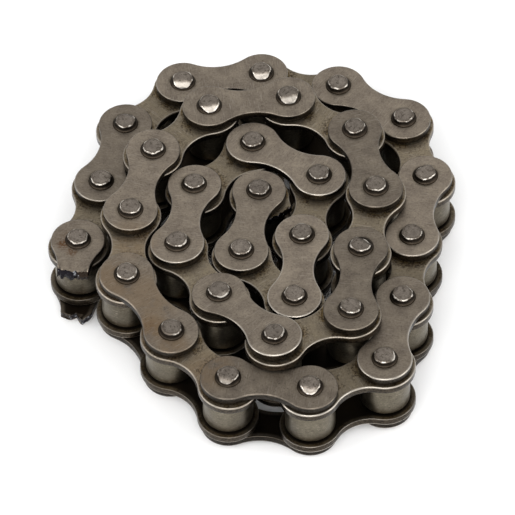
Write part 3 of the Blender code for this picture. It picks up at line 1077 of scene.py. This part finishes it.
outer_sizes = (OUTER_LOBE, OUTER_WAIST, PIN_RADIUS)
upper_cut = torn_plate("upper outer cut", *outer_sizes, (6.1, 6.4, 6.3), 0.4, 0.16, 1)
lower_cut = torn_plate("lower outer cut", *outer_sizes, (5.6, 7.3, 6.1, 6.6, 6.0), 0.0, -0.05, 2)
put_plates("outer_plates_cut", 0, 1, (
    (upper_cut, OUTER_MIDDLE, 0), (lower_cut, -OUTER_MIDDLE, math.pi)),
    outer_steel, OUTER_LOOK)
inner_sizes = (INNER_LOBE, INNER_WAIST, BUSHING_RADIUS)
upper_cut = torn_plate("upper inner cut", *inner_sizes, (4.6, 5.0, 4.7), 0.0, 0.0, 3)
lower_cut = torn_plate("lower inner cut", *inner_sizes, (4.9, 4.6, 4.8), 0.0, 0.0, 4)
put_plates("inner_plates_cut", PIN_COUNT, PIN_COUNT, (
    (upper_cut, INNER_MIDDLE, 0), (lower_cut, -INNER_MIDDLE, math.pi)),
    inner_steel, INNER_LOOK)


# The floor
# A plain sheet of matt white paper, far wider than the view. It scatters the light evenly, so it
# shows as near white with soft shadows and no gloss. The heap only lies on it.
FLOOR_HALF = 1500 * MM

floor_mesh = bpy.data.meshes.new("floor")
corners = [(x * FLOOR_HALF, y * FLOOR_HALF, 0) for x, y in ((-1, -1), (1, -1), (1, 1), (-1, 1))]
floor_mesh.from_pydata(corners, [], [(0, 1, 2, 3)])
paper = bpy.data.materials.new("matt white paper")
paper.use_nodes = True
paper_shader = paper.node_tree.nodes["Principled BSDF"]
paper_shader.inputs["Base Color"].default_value = linear("F6F6F6")
paper_shader.inputs["Roughness"].default_value = 1.0
paper_shader.inputs["Specular IOR Level"].default_value = 0.0
floor_mesh.materials.append(paper)
floor = bpy.data.objects.new("floor", floor_mesh)
bpy.context.collection.objects.link(floor)


# The light
# A bright tent all round, with a softbox in front and above that lights the front shoulders of the
# pins and the rolled edges, and a weaker one on each side for the rollers.
TENT_STRENGTH = 0.85

scene = bpy.context.scene
scene.view_settings.view_transform = "Standard"
scene.view_settings.look = "None"
world = bpy.data.worlds.new("light tent")
scene.world = world
world.use_nodes = True
tent = world.node_tree.nodes["Background"]
tent.inputs["Color"].default_value = linear("FFFFFF")
tent.inputs["Strength"].default_value = TENT_STRENGTH


def softbox(name, place, size, power):
    """A square lamp that faces the heap, its place and size in metres and its power in watts."""
    light = bpy.data.lights.new(name, "AREA")
    light.shape = "SQUARE"
    light.size = size
    light.energy = power
    lamp = bpy.data.objects.new(name, light)
    lamp.location = place
    lamp.rotation_euler = Vector(place).to_track_quat("Z", "Y").to_euler()
    bpy.context.collection.objects.link(lamp)


softbox("front softbox", (-0.05, -0.6, 0.6), 0.55, 4.6)
softbox("left softbox", (-0.65, -0.2, 0.36), 0.45, 2.0)
softbox("right softbox", (0.65, -0.25, 0.36), 0.45, 2.2)


# The camera
# As in the photograph: 49 degrees above the floor and turned two degrees. It has a long lens, and
# stands 85 centimetres from the heap.
CAMERA_RISE = 48.98
CAMERA_SIDE = -0.10
CAMERA_ROLL = -2.05
CAMERA_DISTANCE = 847.0 * MM
CAMERA_TARGET = Vector((0.55, -2.69, 8.5)) * MM
FOCAL_PIXELS = 5401.0
PHOTO_WIDTH = 515
SENSOR = 36.0

rise, side, roll = (math.radians(angle) for angle in (CAMERA_RISE, CAMERA_SIDE, CAMERA_ROLL))
level = math.cos(rise)
forward = Vector((math.sin(side) * level, math.cos(side) * level, -math.sin(rise)))
right = Vector((math.cos(side), -math.sin(side), 0.0))
above = right.cross(forward)
tilted_right = math.cos(roll) * right + math.sin(roll) * above
tilted_above = math.cos(roll) * above - math.sin(roll) * right
lens = bpy.data.cameras.new("camera")
lens.sensor_width = SENSOR
lens.lens = FOCAL_PIXELS / PHOTO_WIDTH * SENSOR
camera = bpy.data.objects.new("camera", lens)
camera_turn = Matrix((tilted_right, tilted_above, -forward)).transposed().to_4x4()
camera.matrix_world = Matrix.Translation(CAMERA_TARGET - CAMERA_DISTANCE * forward) @ camera_turn
bpy.context.collection.objects.link(camera)
scene.camera = camera
